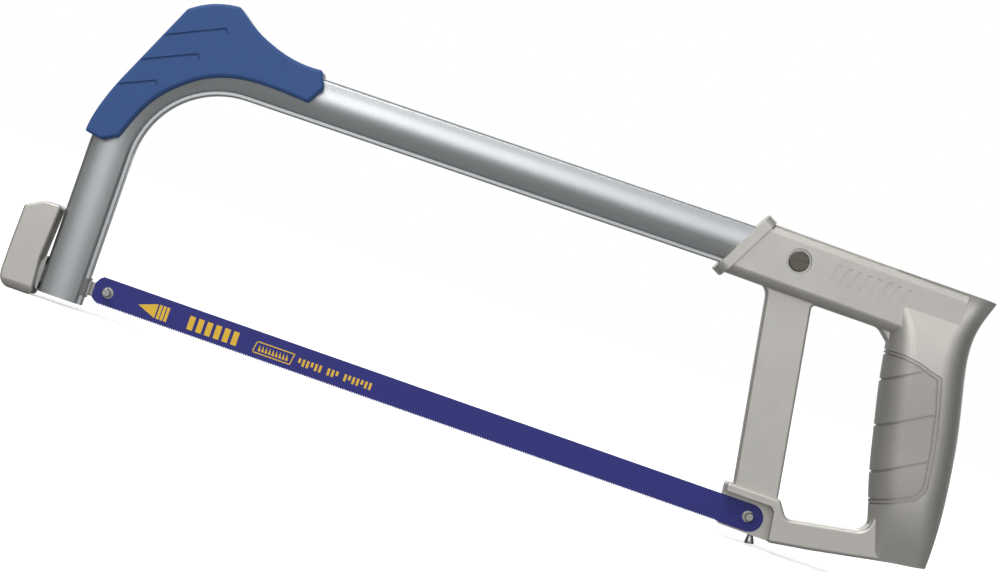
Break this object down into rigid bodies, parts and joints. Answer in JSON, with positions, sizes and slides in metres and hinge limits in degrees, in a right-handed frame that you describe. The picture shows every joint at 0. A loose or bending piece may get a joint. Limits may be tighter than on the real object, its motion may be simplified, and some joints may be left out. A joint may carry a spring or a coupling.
{
  "type": "hacksaw",
  "caption": "Full-size hacksaw with a bent tube frame, pistol handle, moulded front grip and a cam lever that tensions a fine-toothed 300 mm blade.",
  "frame": {"origin": "middle of the saw's length and thickness, level with its lowest point", "axes": "+X along the blade from the lever end to the handle, +Z from the blade up to the spine, -Y is the side the blade slips off to"},
  "size_m": [0.4287, 0.0282, 0.1499],
  "materials": {
    "tube": "satin silver lacquer over drawn steel",
    "grip_blue": "fine-grained moulded plastic",
    "casting": "fine textured grey coating; taken as an aluminium die casting, the metal is not seen",
    "pad": "soft matt inlay",
    "screw_dark": "dark bronze-coloured plating",
    "steel": "bright zinc plated, machined",
    "guide": "grey plated steel insert",
    "lever": "fine textured grey coating; the metal under it is not seen",
    "blade": "deep blue-violet enamel"
  },
  "bodies": {
    "frame": {"spine_tube": "tube", "arm_end_plug": "tube", "front_grip": "grip_blue", "handle_casting": "casting", "finger_grip_pad": "pad", "spine_screw": "screw_dark", "screw_washer": "steel", "sleeve_nut": "screw_dark", "tube_spacer": "steel", "rear_blade_pin": "steel", "flush_cut_stud": "steel", "drawbar_guide": "guide", "thrust_plate": "steel"},
    "drawbar_body": {"drawbar": "steel", "front_blade_pin": "steel", "lever_pivot_pin": "steel", "pivot_ring": "steel"},
    "lever": {"tension_lever": "lever"},
    "blade_body": {"blade": "blade"}
  },
  "joints": [
    {"name": "drawbar_slide", "type": "slide", "parent": "frame", "child": "drawbar_body", "axis": [1, 0, 0], "range_m": [0, 0.00091]},
    {"name": "lever_open", "type": "hinge", "parent": "drawbar_body", "child": "lever", "pos_m": [-0.20445, 0, 0.0111], "axis": [0, -1, 0], "range_deg": [0, 110]},
    {"name": "blade_off", "type": "slide", "parent": "frame", "child": "blade_body", "axis": [0, -1, 0], "range_m": [0, 0.02]}
  ],
  "couplings": [
    {"joint": "drawbar_slide", "follows": "lever_open", "m_per_rad": 0.00046878}
  ]
}
